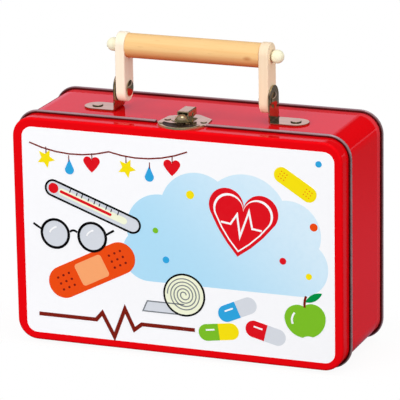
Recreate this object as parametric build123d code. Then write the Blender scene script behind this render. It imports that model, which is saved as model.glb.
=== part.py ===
from build123d import *
import os
from math import cos, radians, sin

# Toy doctor case: a tinplate case that opens like a book, with a wooden swing handle and a rocking latch.
# Millimetres. X runs left to right, Y from the lid (front, -Y) to the back panel, Z up.
# The origin is on the floor, under the middle of the closed case.

# ---- Driving dimensions: the tinplate case ----------------------------------------------------------
case_width = 260.0        # outside of the walls, left to right
case_height = 174.0       # outside of the walls, bottom to top
case_depth = 90.0         # lid face to the back of the rear curl
corner_radius = 15.5      # outside radius of the four corners
sheet = 0.4               # tinplate thickness
curl_radius = 1.4         # outside radius of the rolled edges
curl_turn = 300.0         # how far an edge is rolled round, in degrees
lid_depth = 15.2          # lid face to the centre line of its curl
lid_shoulder = 2.0        # rounding between lid face and skirt
seam_gap = 0.3            # lid curl to the body's step
neck_length = 4.2         # how far the body's neck reaches into the lid
neck_gap = 0.5            # neck to the inside of the lid skirt
panel_recess = 3.0        # back of the rear curl to the back panel

# ---- Driving dimensions: the handle -----------------------------------------------------------------
handle_inner_span = 106.0  # between the arms' inner faces, the visible length of the grip
grip_diameter = 18.6
grip_edge = 0.6           # softened edge at each end of the grip
grip_rise = 49.5          # case top to grip axis
pivot_rise = 16.5         # case top to pivot axis
arm_thickness = 7.6
arm_width = 18.0
arm_end = 10.2            # pivot or grip axis to the arm's nearer end
arm_edge = 1.1            # softened edge all round an arm
peg_head_diameter = 10.3
peg_head_stand = 4.3      # arm face to the centre of the ball head
peg_shank_diameter = 6.0
peg_bite = 14.0           # how far a peg enters the grip
bracket_gap = 0.4         # arm to bracket leg
strap_width = 20.0
strap_thickness = 1.2
strap_bend = 1.0          # inside radius of the bend
strap_edge = 0.25         # softened edge all round a bracket
leg_height = 27.6         # case top to the rounded top of the leg
foot_reach = 18.0         # leg's inner face to the foot rivet
pivot_shank_diameter = 5.0
pivot_head_diameter = 12.2
pivot_head_height = 2.1
pivot_clearance = 0.05    # rivet shank in the arm's bore, radial
head_gap = 0.3            # inner rivet head to the arm
foot_rivet_diameter = 8.2
foot_rivet_height = 0.8
foot_shank_diameter = 4.0
washer_diameter = 12.0
washer_thickness = 0.6

# ---- Driving dimensions: the latch ------------------------------------------------------------------
plate_gap = 0.3           # between the two latch plates, which meet over the seam
plate_edge = 0.25         # softened upper edge of the latch plates
base_thickness = 0.8
base_front_width = 38.8   # base plate beside the seam
base_shoulder_width = 34.8  # base plate where it starts to taper
base_shoulder_setback = 34.0  # lid face to those shoulders
base_rear_width = 8.0
base_rear_setback = 43.6  # lid face to the base plate's rear edge
base_corner_radius = 3.0
catch_radius = 18.8       # round outline of the catch plate
catch_setback = 0.5       # lid face to the front of the catch plate
catch_thickness = 1.5
dish_radius = 13.0
dish_depth = 1.2
rim_gap = 0.5             # cut ends of the lid's curl to the latch plates
lug_width = 5.0
lug_thickness = 1.3
lug_setback = 12.85       # lid face to the middle of the lug
lug_gap = 0.4             # catch lug to the lever above it
lever_gap = 0.5           # lid curl to the lever above it
lever_sheet = 0.8
tongue_width = 18.6
tongue_front = 10.2       # lid face to the rounded front of the tongue
tongue_length = 14.4
dome_radius = 5.3
dome_height = 4.0
dome_rim_radius = 6.1     # raised ring round the foot of the dome
dome_rim_height = 0.6
dome_setback = 0.3        # tongue front to the ring
block_width = 9.0
block_front = 18.8        # lid face to the front of the thumb block
block_length = 16.2
block_rise = 9.1          # case top to the top of the block
block_edge = 0.7
block_rear_lift = 1.0     # how much shorter the block's walls are at the back
latch_pin_diameter = 1.6
latch_pin_setback = 9.5   # block front to the pin
latch_pin_rise = 5.2      # case top to the pin
latch_pin_clearance = 0.05
latch_pin_head = 1.3      # radius of the pin's riveted ends
latch_pin_head_length = 0.5
ear_radius = 1.8
ear_gap = 0.4             # ear to the inside of the block
spring_wire = 0.5
spring_turns = 5
spring_pitch = 0.6
spring_slack = 0.25       # coil to the pin, radial
latch_rivet_diameter = 4.8
latch_rivet_height = 0.6
latch_shank_diameter = 2.4
base_rivet_offset = 14.3  # middle to each base rivet
base_rivet_setback = 24.1  # lid face to the base rivets
catch_rivet_offset = 14.4
catch_rivet_setback = 11.2
catch_rivet_diameter = 3.2
catch_rivet_height = 0.5

# ---- Driving dimensions: the hinges -----------------------------------------------------------------
hinge_offset = 70.0       # middle to each hinge
hinge_width = 24.0
leaf_length = 12.0        # hinge axis to the end of a leaf
leaf_thickness = 0.6
knuckle_radius = 1.3
knuckle_gap = 0.3         # between neighbouring knuckles
knuckle_relief = 2.5      # hinge axis to the edge of a leaf beside the other leaf's knuckle
hinge_pin_diameter = 1.4
hinge_pin_clearance = 0.05
notch_gap = 0.5           # lid curl to the hinge knuckles
hinge_rivet_diameter = 3.2
hinge_rivet_height = 0.5
hinge_shank_diameter = 1.8
hinge_rivet_spread = 7.0  # middle of the hinge to each rivet
hinge_rivet_reach = 7.5   # hinge axis to the rivets

# ---- Shared by all rivets ---------------------------------------------------------------------------
tail_height = 0.7         # closed end of a rivet, inside the sheet
tail_ratio = 1.5          # closed end's diameter over the shank's
shoulder_ratio = 0.5      # rounding of a flat head over its height

# ---- Derived places ---------------------------------------------------------------------------------
face_y = -case_depth / 2
curl_stand = curl_radius - sheet            # wall's outside to the centre of a curl
wall_bottom = curl_stand + curl_radius      # the case rests on its two curls
wall_top = wall_bottom + case_height
middle_z = wall_bottom + case_height / 2
seam_y = face_y + lid_depth                 # centre line of the lid's curl, and the hinge axis
hinge_z = wall_bottom - curl_stand
step_y = seam_y + curl_radius + seam_gap
neck_y = step_y - neck_length
neck_inset = sheet + neck_gap
rear_curl_y = case_depth / 2 - curl_radius
panel_y = case_depth / 2 - panel_recess
pivot_z = wall_top + pivot_rise
grip_z = wall_top + grip_rise
arm_inner_x = handle_inner_span / 2
arm_outer_x = arm_inner_x + arm_thickness
leg_x = arm_outer_x + bracket_gap
foot_rivet_x = leg_x + foot_reach
catch_y = face_y + catch_setback + catch_radius
lever_bottom = wall_top + curl_stand + curl_radius + lever_gap
block_front_y = face_y + block_front
pin_y = block_front_y + latch_pin_setback
pin_z = wall_top + latch_pin_rise
tongue_front_y = face_y + tongue_front
lug_y = face_y + lug_setback

RIGHT = 1
LEFT = -1
SIDES = {"left": LEFT, "right": RIGHT}
UP = (0, 0, 1)
ACROSS = (1, 0, 0)


def case_block(inset, front, back):
    """A solid of the case's rounded outline, a stated distance inside the walls, from front to back."""
    outline = RectangleRounded(case_width - 2 * inset, case_height - 2 * inset, corner_radius - inset)
    plane = Plane(origin=(0, back, middle_z), x_dir=(1, 0, 0), z_dir=(0, -1, 0))
    return extrude(plane * outline, back - front)


def case_ring(outer_inset, inner_inset, front, back):
    """A band that follows the case's outline between two insets."""
    return case_block(outer_inset, front, back) - case_block(inner_inset, front - 1, back + 1)


def curl_section():
    """Section of a rolled edge: x points outwards from the wall's outside, y towards the back."""
    centre = (curl_stand, 0)
    outer = CenterArc(centre, curl_radius, 180, -curl_turn)
    inner = CenterArc(centre, curl_radius - sheet, 180, -curl_turn)
    free_end = Line(outer @ 1, inner @ 1)
    wall_end = Line(inner @ 0, outer @ 0)
    return make_face([outer, free_end, inner, wall_end])


def curl_ring(depth):
    """The rolled edge carried once round the case: four straight runs and four corners."""
    across = case_width / 2 - corner_radius
    up = case_height / 2 - corner_radius
    corners = [(across, up, 0), (-across, up, 90), (-across, -up, 180), (across, -up, 270)]
    runs = [2 * across, 2 * up, 2 * across, 2 * up]
    ring = Part()
    for (x, z, turn), run in zip(corners, runs):
        centre = Vector(x, depth, middle_z + z)
        outward = Vector(cos(radians(turn)), 0, sin(radians(turn)))
        along = Vector(-sin(radians(turn)), 0, cos(radians(turn)))
        start = Plane(origin=centre + outward * corner_radius, x_dir=outward, z_dir=along)
        ring += revolve(start * curl_section(), Axis(centre, (0, -1, 0)), 90)
        end = Plane(origin=centre + along * corner_radius, x_dir=along, z_dir=outward * -1)
        ring += extrude(end * curl_section(), run)
    return ring


def round_outline(radius, height, edge=0.0):
    """Half outline of a domed head standing on z = 0, for turning about the Z axis."""
    dome = TangentArc((0, height), (radius, edge), tangent=(1, 0))
    rest = Polyline((radius, edge), (radius, 0), (0, 0), (0, height))
    return make_face([dome] + rest.edges())


def turned(face):
    return revolve(Plane.XZ * face, Axis.Z, 360)


def dome_head(diameter, height):
    return turned(round_outline(diameter / 2, height, height * 0.2))


def flat_head(diameter, height):
    """A head with a flat top and a rounded shoulder."""
    shoulder = shoulder_ratio * height
    flat, side = diameter / 2 - shoulder, height - shoulder
    top = Line((0, height), (flat, height))
    rounding = CenterArc((flat, side), shoulder, 90, -90)
    rest = Polyline((diameter / 2, side), (diameter / 2, 0), (0, 0), (0, height))
    return turned(make_face([top, rounding] + rest.edges()))


def rivet(head, shank_diameter, grip, tail):
    """Head above z = 0, shank through the joined pieces below it, closed end underneath."""
    body = head + Pos(0, 0, -grip / 2) * Cylinder(shank_diameter / 2, grip)
    return body + Pos(0, 0, -grip) * (Rot(180, 0, 0) * tail)


def sheet_rivet(head, shank_diameter, grip):
    """A rivet whose closed end is the usual small dome."""
    return rivet(head, shank_diameter, grip, dome_head(tail_ratio * shank_diameter, tail_height))


def bored(part, diameter, places, axis, reach):
    """The part with a round hole at each place, along an axis, reaching equally far both ways."""
    for place in places:
        part -= Plane(origin=place, z_dir=axis) * Cylinder(diameter / 2, 2 * reach)
    return part


def group(parts):
    return Compound(children=[part if isinstance(part, Solid) else part.solids()[0] for part in parts])


# ---- Where the rivets go ----------------------------------------------------------------------------
def pair(x, y, z):
    """The same place on the left and on the right."""
    return [(side * x, y, z) for side in SIDES.values()]


foot_rivet_spots = pair(foot_rivet_x, 0, wall_top)
base_rivet_spots = pair(base_rivet_offset, face_y + base_rivet_setback, wall_top)
catch_rivet_spots = pair(catch_rivet_offset, face_y + catch_rivet_setback, wall_top)
outer_hinge_x = hinge_offset + hinge_rivet_spread
inner_hinge_x = hinge_offset - hinge_rivet_spread
body_rivet_y = seam_y + hinge_rivet_reach
lid_rivet_y = seam_y - hinge_rivet_reach
body_hinge_spots = pair(outer_hinge_x, body_rivet_y, wall_bottom)
body_hinge_spots += pair(inner_hinge_x, body_rivet_y, wall_bottom)
lid_hinge_spots = pair(outer_hinge_x, lid_rivet_y, wall_bottom)
lid_hinge_spots += pair(inner_hinge_x, lid_rivet_y, wall_bottom)


# ---- Tinplate ---------------------------------------------------------------------------------------
def body_band():
    """The four walls in one strip, with a neck for the lid in front and a rolled edge behind."""
    neck_inner = neck_inset + sheet
    band = case_ring(0, sheet, step_y, rear_curl_y)
    band += case_ring(0, neck_inner, step_y, step_y + sheet)
    band += case_ring(neck_inset, neck_inner, neck_y, step_y + sheet)
    band += curl_ring(rear_curl_y)
    band = bored(band, foot_shank_diameter, foot_rivet_spots, UP, 2 * sheet)
    band = bored(band, latch_shank_diameter, base_rivet_spots, UP, 2 * sheet)
    return bored(band, hinge_shank_diameter, body_hinge_spots, UP, 2 * sheet)


def back_panel():
    """A shallow tray pushed into the back of the band, its wall against the band's inside."""
    tray = case_block(sheet, panel_y - sheet, rear_curl_y)
    hollow = case_block(2 * sheet, panel_y, rear_curl_y + 1)
    hollow_floor = hollow.faces().sort_by(Axis.Y)[0]
    tray_floor = tray.faces().sort_by(Axis.Y)[0]
    return fillet(tray_floor.edges(), 2 * sheet) - fillet(hollow_floor.edges(), sheet)


def lid_shell():
    """A shallow tray: flat face, rounded shoulder, skirt and rolled edge, cut away for latch and hinges."""
    outside = case_block(0, face_y, seam_y)
    inside = case_block(sheet, face_y + sheet, seam_y + 1)
    outside = fillet(outside.faces().sort_by(Axis.Y)[0].edges(), lid_shoulder)
    inside = fillet(inside.faces().sort_by(Axis.Y)[0].edges(), lid_shoulder - sheet)
    latch_width = base_front_width + 2 * rim_gap
    latch_room = Box(latch_width, 4 * curl_radius, 4 * curl_radius)
    shell = outside - inside + (curl_ring(seam_y) - Pos(0, seam_y, wall_top) * latch_room)
    notch_depth = knuckle_radius + notch_gap
    notch = Box(hinge_width + 2 * notch_gap, notch_depth + 2 * curl_radius, 2 * wall_bottom)
    for side in SIDES.values():
        shell -= Pos(side * hinge_offset, seam_y + curl_radius - notch_depth / 2, wall_bottom / 2) * notch
    shell = bored(shell, latch_shank_diameter, catch_rivet_spots, UP, 2 * sheet)
    return bored(shell, hinge_shank_diameter, lid_hinge_spots, UP, 2 * sheet)


# ---- Handle -----------------------------------------------------------------------------------------
def handle_grip():
    grip = Cylinder(grip_diameter / 2, handle_inner_span)
    grip = chamfer(grip.edges().filter_by(GeomType.CIRCLE), grip_edge)
    socket = Cylinder(peg_shank_diameter / 2, peg_bite)
    for end in SIDES.values():
        grip -= Pos(0, 0, end * (handle_inner_span - peg_bite) / 2) * socket
    return Pos(0, 0, grip_z) * (Rot(0, 90, 0) * grip)


def handle_arm(side):
    length = grip_rise - pivot_rise + 2 * arm_end
    outline = Plane.YZ * SlotOverall(length, arm_width, rotation=90)
    arm = extrude(outline, arm_thickness / 2, both=True)
    arm = fillet(arm.edges(), arm_edge)
    arm = Pos(side * (arm_inner_x + arm_thickness / 2), 0, (pivot_z + grip_z) / 2) * arm
    arm = bored(arm, peg_shank_diameter, [(side * arm_outer_x, 0, grip_z)], ACROSS, 2 * arm_thickness)
    bore = pivot_shank_diameter + 2 * pivot_clearance
    return bored(arm, bore, [(side * arm_outer_x, 0, pivot_z)], ACROSS, 2 * arm_thickness)


def grip_peg(side):
    """Ball head against the arm's outside, shank through the arm and into the grip."""
    shank_length = arm_thickness + peg_bite
    head = Pos(0, 0, peg_head_stand) * Sphere(peg_head_diameter / 2)
    head -= Pos(0, 0, -peg_head_diameter / 2) * Box(peg_head_diameter, peg_head_diameter, peg_head_diameter)
    peg = head + Pos(0, 0, -shank_length / 2) * Cylinder(peg_shank_diameter / 2, shank_length)
    return Plane(origin=(side * arm_outer_x, 0, grip_z), z_dir=(side, 0, 0)) * peg


def handle_bracket(side):
    """An L strap: upright leg outside the arm, foot turned outwards along the case top."""
    half = strap_width / 2
    leg_straight = leg_height - half
    leg_outline = Pos(0, leg_straight / 2) * Rectangle(strap_width, leg_straight)
    leg_outline += Pos(0, leg_straight) * Circle(half)
    foot_outline = Pos(foot_reach / 2, 0) * Rectangle(foot_reach, strap_width)
    foot_outline += Pos(foot_reach, 0) * Circle(half)
    corner = (leg_x, 0, wall_top)
    leg = extrude(Plane(origin=corner, x_dir=(0, 1, 0), z_dir=(1, 0, 0)) * leg_outline, strap_thickness)
    foot = extrude(Plane(origin=corner) * foot_outline, strap_thickness)
    strap = leg + foot
    bends = strap.edges().filter_by(Axis.Y)
    inside = bends.sort_by_distance((leg_x + strap_thickness, 0, wall_top + strap_thickness))[0]
    strap = fillet(inside, strap_bend)
    outside = strap.edges().filter_by(Axis.Y).sort_by_distance(corner)[0]
    strap = fillet(outside, strap_bend + strap_thickness)
    strap = fillet(strap.edges(), strap_edge)
    strap = bored(strap, foot_shank_diameter, [(foot_rivet_x, 0, wall_top)], UP, 2 * strap_thickness)
    strap = bored(strap, pivot_shank_diameter, [(leg_x, 0, pivot_z)], ACROSS, 2 * strap_thickness)
    return strap if side == RIGHT else mirror(strap, about=Plane.YZ)


def handle_rivet(side):
    """Domed pivot: outer head on the bracket leg, inner head just clear of the arm."""
    grip = strap_thickness + bracket_gap + arm_thickness + head_gap
    head = dome_head(pivot_head_diameter, pivot_head_height)
    pivot = rivet(head, pivot_shank_diameter, grip, head)
    outer_face = side * (leg_x + strap_thickness)
    return Plane(origin=(outer_face, 0, pivot_z), z_dir=(side, 0, 0)) * pivot


def bracket_foot_rivets():
    grip = strap_thickness + sheet + washer_thickness
    pin = sheet_rivet(flat_head(foot_rivet_diameter, foot_rivet_height), foot_shank_diameter, grip)
    return group([Pos(x, y, z + strap_thickness) * pin for x, y, z in foot_rivet_spots])


def bracket_foot_washers():
    ring = Cylinder(washer_diameter / 2, washer_thickness)
    ring -= Cylinder(foot_shank_diameter / 2, washer_thickness)
    return group([Pos(x, y, z - sheet - washer_thickness / 2) * ring for x, y, z in foot_rivet_spots])


# ---- Latch ------------------------------------------------------------------------------------------
def latch_base():
    """Plate riveted to the body, tapering to the rear, with two ears that carry the pin."""
    front = (base_front_width / 2, seam_y + plate_gap)
    shoulder = (base_shoulder_width / 2, face_y + base_shoulder_setback)
    rear = (base_rear_width / 2, face_y + base_rear_setback)
    right = [front, shoulder, rear]
    left = [(-x, y) for x, y in reversed(right)]
    outline = make_face(Polyline(right + left, close=True))
    outline = fillet(outline.vertices().sort_by(Axis.Y)[2:], base_corner_radius)
    plate = extrude(Plane(origin=(0, 0, wall_top)) * outline, base_thickness)
    plate = fillet(plate.faces().sort_by(Axis.Z)[-1].edges(), plate_edge)
    ear_x = block_width / 2 - lever_sheet - ear_gap - lever_sheet / 2
    for side in SIDES.values():
        ear = Pos(0, 0, latch_pin_rise / 2) * Box(lever_sheet, 2 * ear_radius, latch_pin_rise)
        ear += Pos(0, 0, latch_pin_rise) * (Rot(0, 90, 0) * Cylinder(ear_radius, lever_sheet))
        plate += Pos(side * ear_x, pin_y, wall_top) * ear
    plate = bored(plate, latch_pin_diameter, [(0, pin_y, pin_z)], ACROSS, block_width)
    return bored(plate, latch_shank_diameter, base_rivet_spots, UP, 2 * base_thickness)


def latch_base_rivets():
    head = flat_head(latch_rivet_diameter, latch_rivet_height)
    pin = sheet_rivet(head, latch_shank_diameter, base_thickness + sheet)
    return group([Pos(x, y, z + base_thickness) * pin for x, y, z in base_rivet_spots])


def latch_pin():
    outer = block_width / 2 + latch_pin_clearance * 2
    shank = Cylinder(latch_pin_diameter / 2, 2 * outer)
    head = Cylinder(latch_pin_head, latch_pin_head_length)
    for end in SIDES.values():
        shank += Pos(0, 0, end * (outer + latch_pin_head_length / 2)) * head
    return Pos(0, pin_y, pin_z) * (Rot(0, 90, 0) * shank)


def latch_spring():
    """Torsion spring round the pin: one end on the base plate, the other under the block's roof."""
    coil_radius = latch_pin_diameter / 2 + spring_slack + spring_wire / 2
    height = spring_turns * spring_pitch
    path = Helix(pitch=spring_pitch, height=height, radius=coil_radius)
    wire = Plane(origin=path @ 0, z_dir=path % 0) * Circle(spring_wire / 2)
    coil = sweep(wire, path=path)
    coil = Pos(-height / 2, pin_y, pin_z) * (Rot(0, 90, 0) * coil)
    reach = block_length - latch_pin_setback - lever_sheet - spring_wire
    low = (wall_top + base_thickness + spring_wire / 2) - (pin_z - coil_radius)
    high = (wall_top + block_rise - lever_sheet - spring_wire) - (pin_z + coil_radius)
    spring = coil
    for end, drop, start_z in ((-1, low, pin_z - coil_radius), (1, high, pin_z + coil_radius)):
        start = Vector(end * height / 2, pin_y, start_z)
        leg = Vector(0, reach, drop)
        plane = Plane(origin=start, z_dir=leg)
        spring += extrude(plane * Circle(spring_wire / 2), leg.length)
    return spring


def latch_lever():
    """One pressing: a box-shaped thumb block, open below and in front, running out into a domed tongue."""
    half = tongue_width / 2
    outline = Pos(0, half) * Circle(half) & Pos(0, half / 2) * Rectangle(tongue_width, half)
    outline += Pos(0, (half + tongue_length) / 2) * Rectangle(tongue_width, tongue_length - half)
    tongue = extrude(Plane(origin=(0, tongue_front_y, lever_bottom)) * outline, lever_sheet)
    top = wall_top + block_rise
    height = top - lever_bottom
    block_y = block_front_y + block_length / 2
    block = Pos(0, block_y, top - height / 2) * Box(block_width, block_length, height)
    top_edges = block.faces().sort_by(Axis.Z)[-1].edges()
    block = fillet(top_edges, block_edge)
    room = Box(block_width - 2 * lever_sheet, block_length, height)
    block -= Pos(0, block_y - lever_sheet, top - lever_sheet - height / 2) * room
    rear_y = block_front_y + block_length
    lifted = (rear_y, lever_bottom + block_rear_lift)
    wedge = make_face(Polyline((pin_y, lever_bottom), (rear_y, lever_bottom), lifted, close=True))
    block -= extrude(Plane.YZ * wedge, block_width, both=True)
    clear = Box(block_width - 2 * lever_sheet, tongue_length, 3 * lever_sheet)
    ear_front_y = pin_y - ear_radius - ear_gap
    tongue -= Pos(0, ear_front_y + tongue_length / 2, lever_bottom) * clear
    lever = tongue + block
    dome_y = tongue_front_y + dome_setback + dome_rim_radius
    dome = dome_head(2 * dome_radius, dome_height) + dome_head(2 * dome_rim_radius, dome_rim_height)
    dome = Pos(0, dome_y, lever_bottom + lever_sheet) * dome
    hollow_radius = dome_radius - lever_sheet
    hollow = dome_head(2 * hollow_radius, dome_height)
    lever = lever + dome - Pos(0, dome_y, lever_bottom) * hollow
    bore = latch_pin_diameter + 2 * latch_pin_clearance
    return bored(lever, bore, [(0, pin_y, pin_z)], ACROSS, block_width)


def catch_plate():
    """Half-round plate riveted to the lid, dished in the middle, with a lug that stands under the dome."""
    disc = Pos(0, catch_y, wall_top + catch_thickness / 2) * Cylinder(catch_radius, catch_thickness)
    disc = fillet(disc.faces().sort_by(Axis.Z)[-1].edges(), plate_edge)
    keep = Box(2 * catch_radius, 2 * catch_radius, 3 * catch_thickness)
    keep = Pos(0, seam_y - catch_radius, wall_top) * keep
    dish_sphere = (dish_radius ** 2 + dish_depth ** 2) / (2 * dish_depth)
    floor = wall_top + catch_thickness - dish_depth
    plate = (disc & keep) - Pos(0, seam_y, floor + dish_sphere) * Sphere(dish_sphere)
    lug_height = lever_bottom - lug_gap - wall_top
    plate += Pos(0, lug_y, wall_top + lug_height / 2) * Box(lug_width, lug_thickness, lug_height)
    return bored(plate, latch_shank_diameter, catch_rivet_spots, UP, 2 * catch_thickness)


def catch_rivets():
    head = flat_head(catch_rivet_diameter, catch_rivet_height)
    pin = sheet_rivet(head, latch_shank_diameter, catch_thickness + sheet)
    return group([Pos(x, y, z + catch_thickness) * pin for x, y, z in catch_rivet_spots])


# ---- Hinges -----------------------------------------------------------------------------------------
knuckle_length = (hinge_width - 2 * knuckle_gap) / 3
middle_knuckle = [0.0]
outer_knuckles = [-(knuckle_length + knuckle_gap), knuckle_length + knuckle_gap]


def hinge_leaf(side, direction, knuckles, bore, spots):
    """A leaf under the sheet, running from the hinge axis in one direction, with its own knuckles."""
    plate_length = leaf_length - knuckle_relief
    leaf_z = wall_bottom - leaf_thickness / 2
    leaf = Box(hinge_width, plate_length, leaf_thickness)
    leaf = Pos(0, direction * (knuckle_relief + plate_length / 2), leaf_z) * leaf
    corners = leaf.edges().filter_by(Axis.Z).sort_by(Axis.Y)
    leaf = fillet(corners[-2:] if direction > 0 else corners[:2], 3 * leaf_thickness)
    bridge = Box(knuckle_length, knuckle_relief, leaf_thickness)
    knuckle = Rot(0, 90, 0) * Cylinder(knuckle_radius, knuckle_length)
    for x in knuckles:
        leaf += Pos(x, direction * knuckle_relief / 2, leaf_z) * bridge
        leaf += Pos(x, 0, hinge_z) * knuckle
    leaf = bored(leaf, bore, [(0, 0, hinge_z)], ACROSS, hinge_width)
    leaf = Pos(side * hinge_offset, seam_y, 0) * leaf
    return bored(leaf, hinge_shank_diameter, spots, UP, 2 * leaf_thickness)


def hinge_pin(side):
    wire = Rot(0, 90, 0) * Cylinder(hinge_pin_diameter / 2, hinge_width)
    return Pos(side * hinge_offset, seam_y, hinge_z) * wire


def hinge_rivets(spots):
    head = dome_head(hinge_rivet_diameter, hinge_rivet_height)
    pin = sheet_rivet(head, hinge_shank_diameter, leaf_thickness + sheet)
    return group([Pos(x, y, z - leaf_thickness) * (Rot(180, 0, 0) * pin) for x, y, z in spots])


# ---- The parts --------------------------------------------------------------------------------------
pieces = {
    "body_band": body_band(),
    "back_panel": back_panel(),
    "lid_shell": lid_shell(),
    "handle_grip": handle_grip(),
    "bracket_foot_rivets": bracket_foot_rivets(),
    "bracket_foot_washers": bracket_foot_washers(),
    "latch_base": latch_base(),
    "latch_base_rivets": latch_base_rivets(),
    "latch_pin": latch_pin(),
    "latch_spring": latch_spring(),
    "latch_lever": latch_lever(),
    "catch_plate": catch_plate(),
    "catch_rivets": catch_rivets(),
    "hinge_body_rivets": hinge_rivets(body_hinge_spots),
    "hinge_lid_rivets": hinge_rivets(lid_hinge_spots),
}
lid_bore = hinge_pin_diameter + 2 * hinge_pin_clearance
for name, side in SIDES.items():
    pieces["handle_arm_" + name] = handle_arm(side)
    pieces["grip_peg_" + name] = grip_peg(side)
    pieces["handle_bracket_" + name] = handle_bracket(side)
    pieces["handle_rivet_" + name] = handle_rivet(side)
    body_leaf = hinge_leaf(side, 1, outer_knuckles, hinge_pin_diameter, body_hinge_spots)
    pieces["hinge_body_leaf_" + name] = body_leaf
    pieces["hinge_lid_leaf_" + name] = hinge_leaf(side, -1, middle_knuckle, lid_bore, lid_hinge_spots)
    pieces["hinge_pin_" + name] = hinge_pin(side)

os.makedirs("parts", exist_ok=True)
for name, piece in pieces.items():
    export_step(piece, "parts/" + name + ".step")
    print(name, "solids", len(piece.solids()), "volume", round(sum(s.volume for s in piece.solids()), 1))
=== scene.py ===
# %% [markdown]
# # A toy doctor case
# The case is a small tin suitcase: a printed lid, a four-walled body, a wooden swing handle and a nickel
# latch. Its shape is already made and comes in as the frame. This lesson gives every surface its finish,
# prints the front, and sets the case in a plain studio.
#
# Everything is in metres. X runs to the right, Y from the lid to the back, Z up.

from math import atan2, cos, degrees, radians, sin, tan

import bmesh
import bpy
from mathutils import Matrix, Vector


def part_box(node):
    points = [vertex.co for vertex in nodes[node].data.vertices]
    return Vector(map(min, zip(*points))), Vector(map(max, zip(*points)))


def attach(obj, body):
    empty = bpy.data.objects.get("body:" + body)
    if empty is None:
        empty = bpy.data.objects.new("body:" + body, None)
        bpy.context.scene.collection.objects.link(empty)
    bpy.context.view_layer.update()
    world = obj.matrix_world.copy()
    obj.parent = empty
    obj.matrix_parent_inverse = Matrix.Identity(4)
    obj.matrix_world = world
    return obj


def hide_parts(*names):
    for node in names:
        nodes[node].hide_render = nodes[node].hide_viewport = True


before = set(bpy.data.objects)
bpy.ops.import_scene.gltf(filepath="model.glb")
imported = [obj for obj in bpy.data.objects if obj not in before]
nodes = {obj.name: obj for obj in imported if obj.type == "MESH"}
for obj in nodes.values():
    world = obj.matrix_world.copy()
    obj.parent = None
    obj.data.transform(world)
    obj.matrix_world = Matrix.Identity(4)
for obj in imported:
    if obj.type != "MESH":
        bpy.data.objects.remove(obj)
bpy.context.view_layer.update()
scene = bpy.context.scene

# %% [markdown]
# ## The sizes that the finishes need
# Print, bare metal and the painted shade and sheen beside the rolled edges all follow the case's own edges,
# so the places of those edges are read from the frame. The rolled edges stand a little outside the walls,
# which is why the walls are found by going in from the box of the lid.

# %% Places on the case
MM = 0.001
CURL_STAND = 2.4 * MM          # how far a rolled edge stands outside the wall
CURL_RADIUS = 1.4 * MM
CORNER_RADIUS = 15.5 * MM      # outside corner of the walls
SHEET = 0.4 * MM

lid_low, lid_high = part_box("lid_shell")
band_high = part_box("body_band")[1]
face_y = lid_low.y
lid_curl_y = lid_high.y - CURL_RADIUS
rear_curl_y = band_high.y - CURL_RADIUS
half_width = lid_high.x - CURL_STAND
wall_bottom = lid_low.z + CURL_STAND
wall_top = lid_high.z - CURL_STAND
half_height = (wall_top - wall_bottom) / 2
middle_z = (wall_top + wall_bottom) / 2
print("walls: %.1f x %.1f mm, front at %.1f mm" % (2000 * half_width, 2000 * half_height, 1000 * face_y))

# %% [markdown]
# ## The camera
# A long lens, well away from the case, keeps the edges of the box nearly parallel. The camera turns about
# a point inside the case: so far round to the right, so far up, and a touch of roll.

# %% Camera
VIEW_AZIMUTH = 21.295          # degrees to the right of straight ahead
VIEW_ELEVATION = 16.377        # degrees above level
VIEW_ROLL = -0.919             # degrees about the line of sight
VIEW_DISTANCE = 2.4788         # from the target to the lens
VIEW_TARGET = Vector((8.065, -15.0, 115.31)) * MM
FOCAL_LENGTH = 299.8           # for a sensor 36 mm wide

turn = radians(VIEW_AZIMUTH)
lift = radians(VIEW_ELEVATION)
roll = radians(VIEW_ROLL)
to_camera = Vector((sin(turn) * cos(lift), -cos(turn) * cos(lift), sin(lift)))
level_right = Vector((cos(turn), sin(turn), 0))
level_up = to_camera.cross(level_right)
camera_right = cos(roll) * level_right + sin(roll) * level_up
camera_up = to_camera.cross(camera_right)

camera_data = bpy.data.cameras.new("camera")
camera_data.lens = FOCAL_LENGTH
camera_data.sensor_width = 36
camera_data.clip_start = 0.1
camera_data.clip_end = 60
camera = bpy.data.objects.new("camera", camera_data)
axes = Matrix((camera_right, camera_up, to_camera)).transposed().to_4x4()
camera.matrix_world = Matrix.Translation(VIEW_TARGET + VIEW_DISTANCE * to_camera) @ axes
scene.collection.objects.link(camera)
scene.camera = camera
print("camera at", [round(v, 3) for v in camera.location])

# %% [markdown]
# ## Helpers for node trees
# A finish is a tree of nodes, and so are the world and the floor. Such trees can be wired by hand in the
# shader editor. In a script, a few short functions keep them readable. The first adds a node, sets its
# fields and feeds its inputs with numbers or with other nodes' outputs. The others are the nodes that come
# up again and again: arithmetic, a smooth step from one value to another, and a mix of two colours.

# %% Node helpers
def add(tree, kind, inputs=None, **settings):
    """A new node. inputs maps a socket's name or number to a value or to another node's output."""
    made = tree.nodes.new(kind)
    for name, value in settings.items():
        setattr(made, name, value)
    for socket, value in (inputs or {}).items():
        if isinstance(value, bpy.types.NodeSocket):
            tree.links.new(value, made.inputs[socket])
        else:
            made.inputs[socket].default_value = value
    return made


def calc(tree, operation, first, second=0.0, third=0.0):
    """The output of one Math node."""
    inputs = {0: first, 1: second, 2: third}
    return add(tree, "ShaderNodeMath", inputs, operation=operation).outputs[0]


def vector_calc(tree, operation, first, second=(0.0, 0.0, 0.0)):
    """The vector output of one Vector Math node."""
    return add(tree, "ShaderNodeVectorMath", {0: first, 1: second}, operation=operation).outputs[0]


def length_of(tree, vector):
    return add(tree, "ShaderNodeVectorMath", {0: vector}, operation="LENGTH").outputs["Value"]


def parts_of(tree, vector):
    """The X, Y and Z outputs of a vector, by name."""
    return add(tree, "ShaderNodeSeparateXYZ", {0: vector}).outputs


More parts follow.
